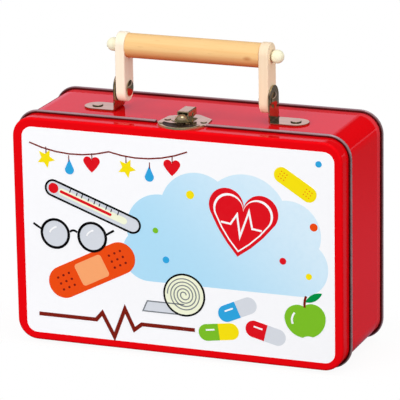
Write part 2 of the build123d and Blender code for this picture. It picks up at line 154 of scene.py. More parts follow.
def fade(tree, value, low, high, from_value=0.0, to_value=1.0):
    """Goes smoothly from from_value, where the value is low, to to_value, where it is high."""
    inputs = {0: value, 1: low, 2: high, 3: from_value, 4: to_value}
    return add(tree, "ShaderNodeMapRange", inputs, interpolation_type="SMOOTHSTEP").outputs[0]


def fade_out(tree, value, low, high):
    """1 where the value is low, 0 where it is high."""
    return fade(tree, value, low, high, 1.0, 0.0)


def blend_colour(tree, amount, first, second):
    """A mix of two colours, each a socket or a triple."""
    mixed = add(tree, "ShaderNodeMix", data_type="RGBA")
    sockets = [s for s in mixed.inputs if s.enabled]
    for socket, value in zip(sockets, (amount, first, second)):
        if isinstance(value, bpy.types.NodeSocket):
            tree.links.new(value, socket)
        else:
            socket.default_value = value if isinstance(value, float) else (*value, 1.0)
    return [s for s in mixed.outputs if s.enabled][0]


print("node helpers:", ", ".join(helper.__name__ for helper in (add, calc, vector_calc, fade, blend_colour)))

# %% [markdown]
# ## The studio
# The case stands on a pale floor in a white room, in even light. What polished metal and varnish mirror is
# a different matter: a bright wall low down behind the case to the left, a thin strip of light at the
# horizon, a wide soft light overhead, and a dim room everywhere else. That is how a studio is lit for
# metal, since a plain white room would leave it with no dark lines. Real panels could stand round the case
# for this. The world is simpler, because it can answer each kind of ray in its own way.

# %% World
FILL_LEVEL = 0.66              # even light from all round
PANEL_LEVEL = 1.0              # the bright wall, as mirrored
PANEL_COLOUR = (0.95, 0.71, 0.93)
RIM_LEVEL = 0.8                # the strip at the horizon
OVERHEAD_LEVEL = 0.45          # the soft light above
ROOM_LEVEL = 0.05              # the rest of the room

BEHIND = (0.05, 0.35)          # where the wall and the strip fade in, by the Y of a direction
PANEL_LEFT = (-1.5, -0.9)      # the sides of the wall, by its X over its Y
PANEL_RIGHT = (-0.34, -0.14)
PANEL_TOP = (0.27, 0.42)       # heights, by its Z
RIM_TOP = (0.03, 0.06)
OVERHEAD_EDGE = (0.45, 0.75)


def mirror_rays(tree, rays):
    """1 for a ray that comes off gloss or through glass."""
    return calc(tree, "MAXIMUM", rays["Is Glossy Ray"], rays["Is Transmission Ray"])


world = bpy.data.worlds.new("studio")
scene.world = world
world.use_nodes = True
sky = world.node_tree
sky.nodes.clear()
direction = parts_of(sky, add(sky, "ShaderNodeTexCoord").outputs["Generated"])
to_the_right = calc(sky, "DIVIDE", direction["X"], calc(sky, "MAXIMUM", direction["Y"], BEHIND[0]))
panel = calc(sky, "MULTIPLY", fade(sky, to_the_right, *PANEL_LEFT), fade_out(sky, to_the_right, *PANEL_RIGHT))
panel = calc(sky, "MULTIPLY", panel, fade_out(sky, direction["Z"], *PANEL_TOP))
rim = fade(sky, direction["Z"], *RIM_TOP, RIM_LEVEL, 0.0)
bright = calc(sky, "MAXIMUM", calc(sky, "MULTIPLY", panel, PANEL_LEVEL), rim)
bright = calc(sky, "MULTIPLY", bright, fade(sky, direction["Y"], *BEHIND))
overhead = fade(sky, direction["Z"], *OVERHEAD_EDGE, ROOM_LEVEL, OVERHEAD_LEVEL)
mirrored = calc(sky, "MAXIMUM", bright, overhead)

sky_rays = add(sky, "ShaderNodeLightPath").outputs
mirror_ray = mirror_rays(sky, sky_rays)
lit = calc(sky, "MULTIPLY", sky_rays["Is Diffuse Ray"], FILL_LEVEL)
seen = calc(sky, "MAXIMUM", sky_rays["Is Camera Ray"], lit)
strength = calc(sky, "MAXIMUM", seen, calc(sky, "MULTIPLY", mirror_ray, mirrored))
tint = blend_colour(sky, mirror_ray, (1.0, 1.0, 1.0), PANEL_COLOUR)
background = add(sky, "ShaderNodeBackground", {"Color": tint, "Strength": strength})
add(sky, "ShaderNodeOutputWorld", {"Surface": background.outputs[0]})
print("world fill", FILL_LEVEL, "panel", PANEL_LEVEL, "room", ROOM_LEVEL)

# %% [markdown]
# ### Lamps
# Three square area lamps shape the case: the key light from the front left, one from the right, and a faint
# one above. Only the one above shows in metal, so the other two draw no bright squares on it. With the
# Standard view, a colour comes out about as it is written.

# %% Lamps
case_middle = Vector((0.0, 0.0, middle_z))


def soft_lamp(name, place, size, power, mirrored=False):
    """A square area lamp, turned towards the case. Only a mirrored one shows in metal."""
    data = bpy.data.lights.new(name, "AREA")
    data.size = size
    data.energy = power
    lamp = bpy.data.objects.new(name, data)
    lamp.location = place
    lamp.rotation_euler = (case_middle - Vector(place)).to_track_quat("-Z", "Y").to_euler()
    lamp.visible_glossy = mirrored
    scene.collection.objects.link(lamp)
    print("lamp", name, power, "W")


soft_lamp("key", place=(-0.7, -2.3, 0.75), size=1.4, power=40.0)
soft_lamp("side", place=(2.3, -0.4, 0.1), size=1.2, power=35.0)
soft_lamp("top", place=(0.15, 0.0, 2.0), size=0.8, power=4.0, mirrored=True)
scene.view_settings.view_transform = "Standard"

# %% [markdown]
# ### The floor
# The floor is one large plane. It is part of the studio and not of the case.

# %% Floor
FLOOR_SIZE = 12.0              # from its middle to each edge

floor_mesh = bmesh.new()
bmesh.ops.create_grid(floor_mesh, x_segments=1, y_segments=1, size=FLOOR_SIZE)
floor_data = bpy.data.meshes.new("floor")
floor_mesh.to_mesh(floor_data)
floor_mesh.free()
floor = bpy.data.objects.new("floor", floor_data)
scene.collection.objects.link(floor)
print("floor corners at", [tuple(vert.co) for vert in floor_data.vertices])

# %% [markdown]
# ### What the floor shows
# The eye sees a white floor with the case's shadow on it. Gloss sees something else: a dim, tinted pool of
# light behind the case, which fades with the distance. Both are added as a glow over a matt floor.

# %% Floor finish
FLOOR_COLOUR = (0.08, 0.08, 0.08, 1.0)
FLOOR_LIFT = 0.93              # brings the unshaded floor up to white for the eye
POOL_COLOUR = (0.84, 0.68, 1.0)
POOL_START = (-0.03, 0.05)     # the pool fades in between these, along Y
POOL_FAR = (0.20, 0.60)        # and between these from its near to its far level
POOL_LEVELS = (0.26, 0.09)

floor_material = bpy.data.materials.new("pale_floor")
floor_material.use_nodes = True
ground = floor_material.node_tree
ground.nodes.clear()
ground_rays = add(ground, "ShaderNodeLightPath").outputs
eye_ray = ground_rays["Is Camera Ray"]
ground_place = add(ground, "ShaderNodeTexCoord").outputs["Object"]
spot = parts_of(ground, ground_place)

pool = fade(ground, spot["Y"], *POOL_FAR, *POOL_LEVELS)
pool = calc(ground, "MULTIPLY", fade(ground, spot["Y"], *POOL_START), pool)
pool_seen = calc(ground, "MULTIPLY", mirror_rays(ground, ground_rays), pool)
pool_tint = blend_colour(ground, eye_ray, POOL_COLOUR, (1.0, 1.0, 1.0))
lifted = calc(ground, "MULTIPLY", calc(ground, "MAXIMUM", eye_ray, pool_seen), FLOOR_LIFT)
glow = add(ground, "ShaderNodeEmission", {"Color": pool_tint, "Strength": lifted})
matt = add(ground, "ShaderNodeBsdfDiffuse", {"Color": FLOOR_COLOUR})
whole = add(ground, "ShaderNodeAddShader", {0: matt.outputs[0], 1: glow.outputs[0]})
print("floor lifted to", FLOOR_LIFT, "for the eye, mirrored at", POOL_LEVELS)

# %% [markdown]
# ### Where the floor ends
# The lid swings down past the edge of whatever the case stands on. A floor without an end would hide it. So
# the floor ends softly round the case, and the eye looks through it further out. Lamp light passes through
# it in front, to reach the open lid, but not on the right, where the side lamp would shine up from below.

# %% Floor edge
PATCH_EDGE = (0.025, 0.085)    # the floor is whole up to the first distance and gone at the second
FRONT_EDGE = (-0.056, -0.046)  # it ends sooner in front, where the lid swings down
LIGHT_FRONT = (-0.07, -0.05)   # lamp light passes in front of this, and to the left of the next
LIGHT_RIGHT = (0.13, 0.18)

from_middle = vector_calc(ground, "ABSOLUTE", vector_calc(ground, "MULTIPLY", ground_place, (1.0, 1.0, 0.0)))
past_case = vector_calc(ground, "SUBTRACT", from_middle, (half_width, -face_y, 0.0))
from_case = length_of(ground, vector_calc(ground, "MAXIMUM", past_case, (0.0, 0.0, 0.0)))
gone = calc(ground, "MAXIMUM", fade(ground, from_case, *PATCH_EDGE), fade_out(ground, spot["Y"], *FRONT_EDGE))
clear_view = calc(ground, "MULTIPLY", eye_ray, gone)
lit_lid = calc(ground, "MULTIPLY", fade_out(ground, spot["Y"], *LIGHT_FRONT), ground_rays["Is Shadow Ray"])
clear_light = calc(ground, "MULTIPLY", lit_lid, fade_out(ground, spot["X"], *LIGHT_RIGHT))
clear_share = calc(ground, "MAXIMUM", clear_view, clear_light)
clear = add(ground, "ShaderNodeBsdfTransparent")
ended = add(ground, "ShaderNodeMixShader", {0: clear_share, 1: whole.outputs[0], 2: clear.outputs[0]})
add(ground, "ShaderNodeOutputMaterial", {"Surface": ended.outputs[0]})
floor_data.materials.append(floor_material)
print("floor whole up to", 1000 * PATCH_EDGE[0], "mm from the case, gone at", 1000 * PATCH_EDGE[1])

# %% [markdown]
# ## Helpers for finishes
# Every finish starts from the same few things: a material with its shader, a noise that breaks up what
# would be flat, a way to stretch that noise along a piece, and a bump that turns it into relief. The noise
# reads Object coordinates, so it keeps its real size on every piece and needs no unwrapping.

# %% Finish helpers
def noise(tree, position, scale, detail=3.0, output=0):
    """Noise around 0.5: output 0 is a value and output 1 a colour."""
    inputs = {"Vector": position, "Scale": scale, "Detail": detail}
    return add(tree, "ShaderNodeTexNoise", inputs).outputs[output]


def stretched(tree, position, scale):
    """The position with each axis multiplied, so that a pattern runs along the small one."""
    return add(tree, "ShaderNodeMapping", {"Vector": position, "Scale": scale}).outputs[0]


def new_material(name):
    """A new material with its output and its Principled shader: (material, tree, shader)."""
    material = bpy.data.materials.new(name)
    material.use_nodes = True
    tree = material.node_tree
    tree.nodes.clear()
    shader = add(tree, "ShaderNodeBsdfPrincipled")
    add(tree, "ShaderNodeOutputMaterial", {"Surface": shader.outputs[0]})
    print("material", name)
    return material, tree, shader


def feed(tree, shader, **inputs):
    """Sets or links the shader's sockets, with _ for a space in a name."""
    for name, value in inputs.items():
        socket = shader.inputs[name.replace("_", " ")]
        if isinstance(value, bpy.types.NodeSocket):
            tree.links.new(value, socket)
        else:
            socket.default_value = (*value, 1.0) if isinstance(value, tuple) and len(value) == 3 else value


def bump(tree, height, depth, under=None):
    """A normal that rises with height, up to depth in metres, over an earlier normal if one is given."""
    inputs = {"Height": height, "Distance": depth, "Strength": 1.0}
    if under is not None:
        inputs["Normal"] = under
    return add(tree, "ShaderNodeBump", inputs).outputs[0]


print("finish helpers:", ", ".join(helper.__name__ for helper in (noise, stretched, feed, bump)))

# %% [markdown]
# ## Printed tinplate
# The sheet is printed red on one side and left bare on the other, before it is bent. So the same piece is
# red outside and tin inside, and where its edge rolls outwards the bare side comes round to the front. Red
# and tin could be two materials, each on its own faces. Here one shader holds both, and the place on the
# case chooses between them, so the change is sharp wherever it falls. The shader first needs to know how
# far a point lies from the walls.

# %% Distance from the wall
def wall_distance(tree, position):
    """How far a point lies outside the case's rounded outline, in metres; negative inside."""
    centred = vector_calc(tree, "SUBTRACT", position, (0.0, 0.0, middle_z))
    flat = vector_calc(tree, "MULTIPLY", centred, (1.0, 0.0, 1.0))
    reach = (half_width - CORNER_RADIUS, 0.0, half_height - CORNER_RADIUS)
    past = vector_calc(tree, "SUBTRACT", vector_calc(tree, "ABSOLUTE", flat), reach)
    outside = length_of(tree, vector_calc(tree, "MAXIMUM", past, (0.0, 0.0, 0.0)))
    sides = parts_of(tree, past)
    inside = calc(tree, "MINIMUM", calc(tree, "MAXIMUM", sides["X"], sides["Z"]), 0.0)
    return calc(tree, "SUBTRACT", calc(tree, "ADD", outside, inside), CORNER_RADIUS)


print("walls turn each corner with a radius of", round(1000 * CORNER_RADIUS, 1), "mm")

# %% [markdown]
# ### Varnish
# One clear varnish covers the red and all the inks. Handling has left its gloss a little uneven. Two bumps
# keep it from mirroring like glass: the slow waves of thin sheet, and the fine skin of the varnish.

# %% Varnish
VARNISH_IOR = 1.15
VARNISH_TINT = (0.90, 0.85, 1.0)
VARNISH_ROUGHNESS = (0.02, 0.06)
WAVE_DEPTH = 0.05 * MM
SKIN_DEPTH = 0.002 * MM


def varnish_gloss(tree, position):
    return fade(tree, noise(tree, position, scale=60.0, detail=4.0), 0.3, 0.8, *VARNISH_ROUGHNESS)


def varnish_normal(tree, position):
    waves = bump(tree, noise(tree, position, scale=22.0, detail=1.0), WAVE_DEPTH)
    return bump(tree, noise(tree, position, scale=900.0, detail=2.0), SKIN_DEPTH, waves)


print("varnish roughness", VARNISH_ROUGHNESS)

# %% [markdown]
# ### Red and tin
# The red is a little worn in broad clouds. Just before the rear roll it is painted paler, as a painted
# reflection of light on the varnish. The tin is streaky from the rolling mill; outside it is tinted pink as a
# painted reflection of the red walls, and inside it keeps its own pale colour. In the groove beside a rolled
# edge the tin is painted dark red, as painted shade and a painted reflection of the red wall.

# %% Tinplate finish
RED = (0.80, 0.0020, 0.0050)
RED_WORN = (0.72, 0.0035, 0.0060)
# painted reflection: near the rear roll the red is painted paler, as the light mirrored in the varnish; it is
# no thinner coat. It begins and is full at the next two distances before the roll
RED_PAINTED_SHEEN = (0.82, 0.042, 0.055)
SHEEN_START = 9.0 * MM          # the thin coat begins this far before the rear roll
SHEEN_FULL = 6.3 * MM
# the outer tin is tinted pink as a painted reflection of the red walls; the inner tin is its plain colour
TIN_PINK_REFLECTED = (0.62, 0.45, 0.46)
TIN_PINK_REFLECTED_DULL = (0.46, 0.32, 0.33)
TIN_INSIDE = (0.78, 0.76, 0.73)
TIN_INSIDE_DULL = (0.68, 0.66, 0.64)
INNER_SIDE = (-0.3 * MM, 0.0)  # the inner tin goes over into the outer one between these, from the wall
# painted shade: dark red for the tin in the groove, standing for shade and the mirrored red wall
TIN_GROOVE_SHADE = (0.13, 0.012, 0.012)
TIN_METALLIC = 0.6             # dull tin also scatters light
TIN_ROUGHNESS = (0.22, 0.36)
TIN_STREAKS = (14.0, 60.0, 120.0)


def tinplate(name, printed, groove=(0.95 * MM, 1.95 * MM)):
    """Red litho print where printed(tree, position, normal) is 1, bare tin where it is 0.

    The tin is painted dark, as shade in the groove, from the wall out to groove's first distance, and not
    past its second.
    """
    material, tree, shader = new_material(name)
    place = add(tree, "ShaderNodeTexCoord").outputs
    position = place["Object"]
    red_side = printed(tree, position, place["Normal"])
    stand = wall_distance(tree, position)

    cloud = noise(tree, position, scale=9.0, detail=2.0)
    red = blend_colour(tree, fade(tree, cloud, 0.35, 0.75, 0.0, 0.25), RED, RED_WORN)
    depth = parts_of(tree, position)["Y"]
    # painted reflection: the red is made paler just before the rear roll
    painted_sheen = fade(tree, depth, rear_curl_y - SHEEN_START, rear_curl_y - SHEEN_FULL)
    on_wall = calc(tree, "GREATER_THAN", stand, -SHEET)
    red = blend_colour(tree, calc(tree, "MULTIPLY", painted_sheen, on_wall), red, RED_PAINTED_SHEEN)

    streaks = noise(tree, stretched(tree, position, TIN_STREAKS), scale=1.0)
    cleaner = fade(tree, streaks, 0.2, 0.8)
    # painted reflection: the outer tin is tinted pink by the red around it
    tin = blend_colour(tree, cleaner, TIN_PINK_REFLECTED_DULL, TIN_PINK_REFLECTED)
    inner_tin = blend_colour(tree, cleaner, TIN_INSIDE_DULL, TIN_INSIDE)
    tin = blend_colour(tree, fade_out(tree, stand, *INNER_SIDE), tin, inner_tin)
    outside = calc(tree, "GREATER_THAN", stand, 0.0)
    # painted shade: the tin darkens towards the wall in the groove beside a rolled edge
    painted_shade = calc(tree, "MULTIPLY", fade_out(tree, stand, *groove), outside)
    tin = blend_colour(tree, painted_shade, tin, TIN_GROOVE_SHADE)

    tin_gloss = fade(tree, streaks, 0.3, 0.7, *TIN_ROUGHNESS)
    gloss_gap = calc(tree, "SUBTRACT", varnish_gloss(tree, position), tin_gloss)
    gloss = calc(tree, "MULTIPLY_ADD", red_side, gloss_gap, tin_gloss)
    metallic = calc(tree, "MULTIPLY_ADD", red_side, -TIN_METALLIC, TIN_METALLIC)
    feed(tree, shader, Base_Color=blend_colour(tree, red_side, tin, red), Metallic=metallic, Roughness=gloss,
         Normal=varnish_normal(tree, position), IOR=VARNISH_IOR, Specular_Tint=VARNISH_TINT)
    return material


print("red", RED, "and tin", TIN_PINK_REFLECTED)

# %% [markdown]
# ### Where the print is
# The lid and the body are printed where they face away from the middle of their hollow, up to the rolled
# edge. The back panel is a shallow tray, so its print is simply on what faces backwards.

# %% Print masks
LID_MIDDLE_Y = face_y + 8 * MM
BODY_MIDDLE_Y = 8 * MM
CURL_MARGIN = 0.2 * MM
PROUD = 0.02 * MM              # what stands further out than this is no longer wall


def outward(tree, position, normal, middle_y):
    """1 where a surface faces away from a point inside the case, 0 where it faces towards it."""
    arm = vector_calc(tree, "SUBTRACT", position, (0.0, middle_y, middle_z))
    facing = add(tree, "ShaderNodeVectorMath", {0: arm, 1: normal}, operation="DOT_PRODUCT").outputs["Value"]
    return calc(tree, "GREATER_THAN", facing, 0.0)


def before_curl(tree, position, curl_y):
    """1 on the wall and in front of it, 0 on the rolled edge at a depth."""
    offset = calc(tree, "SUBTRACT", parts_of(tree, position)["Y"], curl_y)
    near = calc(tree, "LESS_THAN", calc(tree, "ABSOLUTE", offset), CURL_RADIUS + CURL_MARGIN)
    proud = calc(tree, "GREATER_THAN", wall_distance(tree, position), PROUD)
    return calc(tree, "SUBTRACT", 1.0, calc(tree, "MULTIPLY", near, proud))


def lid_print(tree, position, normal):
    outside = outward(tree, position, normal, LID_MIDDLE_Y)
    return calc(tree, "MULTIPLY", outside, before_curl(tree, position, lid_curl_y))


def body_print(tree, position, normal):
    outside = outward(tree, position, normal, BODY_MIDDLE_Y)
    return calc(tree, "MULTIPLY", outside, before_curl(tree, position, rear_curl_y))


def panel_print(tree, position, normal):
    """The place makes no difference here, only the side."""
    return calc(tree, "GREATER_THAN", parts_of(tree, normal)["Y"], 0.0)


lid_tinplate = tinplate("lid_tinplate", lid_print)
band_tinplate = tinplate("band_tinplate", body_print, groove=(1.1 * MM, 2.5 * MM))
panel_tinplate = tinplate("panel_tinplate", panel_print)

# %% [markdown]
# ## The printed front
# The front is printed in flat inks, one after another, as on a litho press: first a white ground, then the
# pale colours, then the dark ones, and last a second white for lines and shine. Here each ink is one very
# thin piece that stands on the sheet, a little thicker than the ink before it, so that a later ink always
# covers an earlier one. An image file would be the usual way; shapes cut from thin plates stay sharp at any
# distance.

# %% Inks, in the order of the press
INK_STEP = 0.02 * MM
INKS = {
    "white": (250, 250, 253), "sky": (176, 222, 247), "light_grey": (214, 218, 226), "cream": (244, 246, 218),
    "yellow": (246, 224, 18), "orange": (236, 76, 20), "peach": (250, 166, 110), "red": (222, 20, 32),
    "green": (124, 190, 40), "dark_green": (0, 142, 68), "blue": (48, 164, 222), "brown": (122, 30, 20),
    "grey": (120, 125, 131), "black": (14, 12, 14), "white_line": (250, 250, 252),
}
ink_sheets = {ink: bmesh.new() for ink in INKS}
ink_heights = {ink: INK_STEP * (order + 1) for order, ink in enumerate(INKS)}
print(len(INKS), "inks, the last one", round(1000 * ink_heights["white_line"], 2), "mm proud")

# %% [markdown]
# ### A pen
# An outline is a short list of stops: a point, in millimetres, and how many degrees the pen bends through on
# the way there.
# A bend of 0 is a straight line and 180 is a half circle, and a positive bend turns left. The bend is drawn
# by spinning the last point about a centre, which lies beside the middle of the chord.

# %% Pen and fill
ARC_STEP = 6.0                 # degrees in one short edge of an arc
TOWARDS_EYE = (0.0, -1.0, 0.0)


def draw(shape, stops):
    """Draws the stops (x, z, bend) as a chain of edges. The first stop only says where it starts."""
    first_x, first_z, _ = stops[0]
    tip = bmesh.ops.create_vert(shape, co=(first_x * MM, 0, first_z * MM))["vert"][0]
    for x, z, bend in stops[1:]:
        goal = Vector((x, 0, z)) * MM
        if bend == 0:
            tip = bmesh.ops.extrude_vert_indiv(shape, verts=[tip])["verts"][0]
            tip.co = goal
            continue
        chord = goal - tip.co
        beside = Vector((-chord.z, 0, chord.x)) / (2 * tan(radians(bend) / 2))
        steps = max(2, round(abs(bend) / ARC_STEP))
        spun = bmesh.ops.spin(shape, geom=[tip], cent=tip.co + chord / 2 + beside, axis=TOWARDS_EYE,
                              angle=radians(bend), steps=steps)
        tip = [part for part in spun["geom_last"] if isinstance(part, bmesh.types.BMVert)][0]


def filled(*outlines):
    """A flat face inside a closed outline, with a second one as a hole. The first stop's bend closes it."""
    shape = bmesh.new()
    for stops in outlines:
        draw(shape, [*stops, stops[0]])
    bmesh.ops.remove_doubles(shape, verts=shape.verts, dist=0.001 * MM)
    bmesh.ops.triangle_fill(shape, use_beauty=True, edges=shape.edges)
    return shape


def disc(radius, x=0.0, z=0.0):
    return filled([(x + radius, z, 180), (x - radius, z, 180)])


def scaled(stops, factor):
    return [(x * factor, z * factor, bend) for x, z, bend in stops]


def slid(stops, along):
    return [(x + along, z, bend) for x, z, bend in stops]


coin = disc(1.0)
print("a disc has", len(coin.verts), "corners")
coin.free()


# %% [markdown]
# ### Lines and placing
# A line of ink has a width. Its path is drawn with the pen, pulled a little way out of the sheet into a
# ribbon that stands on edge, and then given the width as its thickness. Every shape is drawn about its own
# middle, and then turned, moved and added to the sheet of its ink.

# %% Stroke and place
PULL = 1.0 * MM                # height of every shape before it gets its ink's own


def stroke(stops, width):
    """A line of a stated width along the stops."""
    ribbon = bmesh.new()
    draw(ribbon, stops)
    pulled = bmesh.ops.extrude_edge_only(ribbon, edges=ribbon.edges[:])["geom"]
    edge = [part for part in pulled if isinstance(part, bmesh.types.BMVert)]
    bmesh.ops.translate(ribbon, verts=edge, vec=Vector(TOWARDS_EYE) * PULL)
    bmesh.ops.recalc_face_normals(ribbon, faces=ribbon.faces)
    bmesh.ops.solidify(ribbon, geom=ribbon.faces[:], thickness=width * MM)
    return ribbon


def lay(ink, shape, x=0.0, z=0.0, turn_by=0.0, grow=1.0):
    """Gives the shape its ink's height, puts it on the lid's face and adds it to that ink's sheet."""
    depths = [vert.co.y for vert in shape.verts]
    if max(depths) - min(depths) < PULL / 2:  # a fill is still flat, a stroke isn't
        pulled = bmesh.ops.extrude_face_region(shape, geom=shape.faces[:])["geom"]
        front = [part for part in pulled if isinstance(part, bmesh.types.BMVert)]
        bmesh.ops.translate(shape, verts=front, vec=Vector(TOWARDS_EYE) * PULL)
    bmesh.ops.scale(shape, verts=shape.verts, vec=(grow, ink_heights[ink] / PULL, grow))
    bmesh.ops.rotate(shape, verts=shape.verts, cent=(0, 0, 0),
                     matrix=Matrix.Rotation(radians(turn_by), 3, TOWARDS_EYE))
    bmesh.ops.translate(shape, verts=shape.verts, vec=(x * MM, face_y, z * MM))
    bmesh.ops.recalc_face_normals(shape, faces=shape.faces)
    ready = bpy.data.meshes.new("shape")
    shape.to_mesh(ready)
    shape.free()
    ink_sheets[ink].from_mesh(ready)
    bpy.data.meshes.remove(ready)


def laid(what):
    print(what, "laid, in all", sum(len(sheet.faces) for sheet in ink_sheets.values()), "faces of ink")


laid("nothing")

# %% [markdown]
# ### The ground
# The white ground leaves a red border all round. No press meets its sheet quite exactly, so the ground sits
# almost a millimetre to the right of the middle. A pale cloud lies behind the drawings.

# %% White ground and cloud
GROUND_LEFT, GROUND_RIGHT = -122.2, 123.9
GROUND_BOTTOM, GROUND_TOP = 8.6, 169.5
GROUND_CORNER = 8.2


def rounded_box(left, bottom, right, top, corner):
    """Stops of a rectangle with round corners, anticlockwise from the lower left."""
    return [(left + corner, bottom, 90), (right - corner, bottom, 0), (right, bottom + corner, 90),
            (right, top - corner, 0), (right - corner, top, 90), (left + corner, top, 0),
            (left, top - corner, 90), (left, bottom + corner, 0)]


lay("white", filled(rounded_box(GROUND_LEFT, GROUND_BOTTOM, GROUND_RIGHT, GROUND_TOP, GROUND_CORNER)))
CLOUD = [(-58, -38, 130), (60, -38, 0), (76, 0, 140), (48, 34, 120), (-2, 44, 100), (-46, 30, 105),
         (-74, -4, 110)]
lay("sky", filled(CLOUD), 36, 96)
laid("ground and cloud")

# %% [markdown]
# ### The big heart
# Two lobes and two nearly straight sides. A thin white line follows the outline inside it, made as a
# smaller heart with a still smaller one cut out, and a white pulse line crosses it.

# %% Heart
HEART = [(0, -21, 20), (22, 5, 20), (0, 12, 205), (-22, 5, 205)]
BEAT = [(-14, -1, 0), (-7, -1, 0), (-4, 5, 0), (0, -10, 0), (4, 8, 0), (7, -1, 0), (14, -1, 0)]
BIG_HEART = (52, 108, -8, 1.15)  # x, z, turn and size


def heart(x, z, turn_by, grow):
    lay("red", filled(HEART), x, z, turn_by, grow)


heart(*BIG_HEART)
lay("white_line", filled(scaled(HEART, 0.86), scaled(HEART, 0.80)), *BIG_HEART)
lay("white_line", stroke(BEAT, 1.3), *BIG_HEART)
laid("heart")

# %% [markdown]
# ### Sticking plasters
# A bar with round ends, a paler pad in the middle, and small air holes at both ends, laid by three loops.

# %% Plasters
def bar(length, width):
    """Stops of a bar with round ends."""
    half, radius = length / 2 - width / 2, width / 2
    return [(half, -radius, 0), (half, radius, 180), (-half, radius, 0), (-half, -radius, 180)]


def plaster(x, z, turn_by, grow, ink, pad_ink, hole_ink):
    lay(ink, filled(bar(76, 25)), x, z, turn_by, grow)
    lay(pad_ink, filled(rounded_box(-12, -9, 12, 9, 2.5)), x, z, turn_by, grow)
    for side in (-1, 1):
        for column in (18.5, 23.5, 28.5):
            for row in (-5, 0, 5):
                lay(hole_ink, disc(0.9, side * column, row), x, z, turn_by, grow)


plaster(-68, 62, 27, 1.0, "orange", "peach", "brown")
plaster(94, 143, -32, 0.48, "yellow", "cream", "orange")
laid("two plasters")

# %% [markdown]
# ### A thermometer
# A pale glass bar inside a black outline, which is a bar with a smaller bar cut out. The red column starts
# in the bulb at the left end, and short strokes mark the scale.

# %% Thermometer
def thermometer(x, z, turn_by):
    lay("light_grey", filled(bar(80, 12.5)), x, z, turn_by)
    lay("black", filled(bar(81, 13.5), bar(78, 10.5)), x, z, turn_by)
    lay("cream", filled(bar(58, 5.2)), x, z, turn_by)
    lay("red", filled(slid(bar(44, 2.2), -6)), x, z, turn_by)
    lay("red", disc(4.0, -33.5), x, z, turn_by)
    for mark in range(9):
        along = -20 + 5 * mark
        lay("black", stroke([(along, 2.2, 0), (along, 4.6 if mark % 2 else 5.2, 0)], 0.7), x, z, turn_by)


thermometer(-66, 112, -20)
laid("thermometer")

# %% [markdown]
# ### Capsules
# Two colours meet in the middle of each bar. The right half is the left one scaled by -1, which turns it
# half way round. A white streak is the shine on the shell.

# %% Capsules
def capsule(x, z, turn_by, left_ink, right_ink):
    left_half = [(0, 6.5, 0), (-9.5, 6.5, 0), (-9.5, -6.5, 180), (0, -6.5, 0)]
    lay(left_ink, filled(left_half), x, z, turn_by)
    lay(right_ink, filled(scaled(left_half, -1)), x, z, turn_by)
    lay("white_line", stroke([(-10, 2.6, 0), (-3, 2.6, 0)], 1.2), x, z, turn_by)


capsule(48, 43, 24, "blue", "light_grey")
capsule(70, 27, -14, "red", "light_grey")
capsule(33, 24, 8, "green", "yellow")
laid("three capsules")

# %% [markdown]
# ### An apple
# Six arcs make the body, with a dip at the top and at the foot. The leaf is the same bend there and back.

# %% Apple
APPLE = [(0, 10, -120), (16, 1, -120), (4, -14, -75), (0, -13, 20), (-4, -14, 20), (-16, 1, -75)]


def apple(x, z, turn_by):
    lay("green", filled(APPLE), x, z, turn_by)
    lay("brown", stroke([(0, 9, 0), (2.5, 18, -30)], 1.8), x, z, turn_by)
    lay("dark_green", filled([(2, 13, -75), (16, 19, -75)]), x, z, turn_by)
    lay("white_line", stroke([(-11, -3, 0), (-8, 6, -60)], 1.5), x, z, turn_by)


apple(101, 41, 8)
laid("apple")

# %% [markdown]
# ### A roll of bandage
# The winding is a spiral of half circles, each a little wider than the last. The loose end runs off to
# the left at the foot of the roll.

# %% Bandage roll
ROLL_RADIUS = 16.0
ROLL_TURNS = 5
CORE_RADIUS = 2.0
OUTLINE = 1.4


def bandage_roll(x, z):
    tail = [(0, -ROLL_RADIUS, 0), (0, 9 - ROLL_RADIUS, 0), (-30, 9 - ROLL_RADIUS, 0), (-34, -ROLL_RADIUS, 0)]
    lay("light_grey", filled(tail), x, z)
    lay("grey", stroke(tail[1:] + [(0, -ROLL_RADIUS, 0)], 0.9), x, z)
    lay("cream", disc(ROLL_RADIUS), x, z)
    winding = [(CORE_RADIUS, 0, 0)]
    for half_turn in range(1, 2 * ROLL_TURNS):
        reach = CORE_RADIUS + half_turn * (ROLL_RADIUS - 3.0) / (2 * ROLL_TURNS)
        winding.append((-reach if half_turn % 2 else reach, 0, 180))
    lay("grey", stroke(winding, 0.8), x, z)
    outer, inner = ROLL_RADIUS + OUTLINE / 2, ROLL_RADIUS - OUTLINE / 2
    ring = [(outer, 0, 180), (-outer, 0, 180)]
    lay("black", filled(ring, scaled(ring, inner / outer)), x, z)


bandage_roll(6, 50)
laid("bandage roll")

# %% [markdown]
# ### Spectacles
# Two thick black rings with grey lenses, a bridge and two short side arms. Each lens has a white streak.

# %% Spectacles
def spectacles(x, z, turn_by):
    for side in (-1, 1):
        centre = side * 15
        lay("light_grey", disc(10.5, centre), x, z, turn_by)
        ring = [(centre + 12, 0, 180), (centre - 12, 0, 180)]
        lens = [(centre + 10, 0, 180), (centre - 10, 0, 180)]
        lay("black", filled(ring, lens), x, z, turn_by)
        lay("black", stroke([(side * 26.5, 2, 0), (side * 33, 6, 0)], 1.6), x, z, turn_by)
        lay("white_line", stroke([(centre - 5, 1, 0), (centre + 1, 6, -50)], 1.3), x, z, turn_by)
    lay("black", stroke([(-3.5, 3, 0), (3.5, 3, -100)], 1.6), x, z, turn_by)


spectacles(-82, 88, 0)
laid("spectacles")

# %% [markdown]
# ### A garland
# A brown string hangs in two sagging arcs. Stars, drops and small hearts hang from it. A star is a circle
# of ten corners with every second one moved in.

# %% Garland
STAR_WAIST = 0.48              # how far the inner corners stand out, as a share of the outer ones
HUNG = [("star", -103, 146), ("drop", -84, 141), ("heart", -66, 144), ("star", -38, 144), ("drop", -20, 141),
        ("heart", -2, 147)]


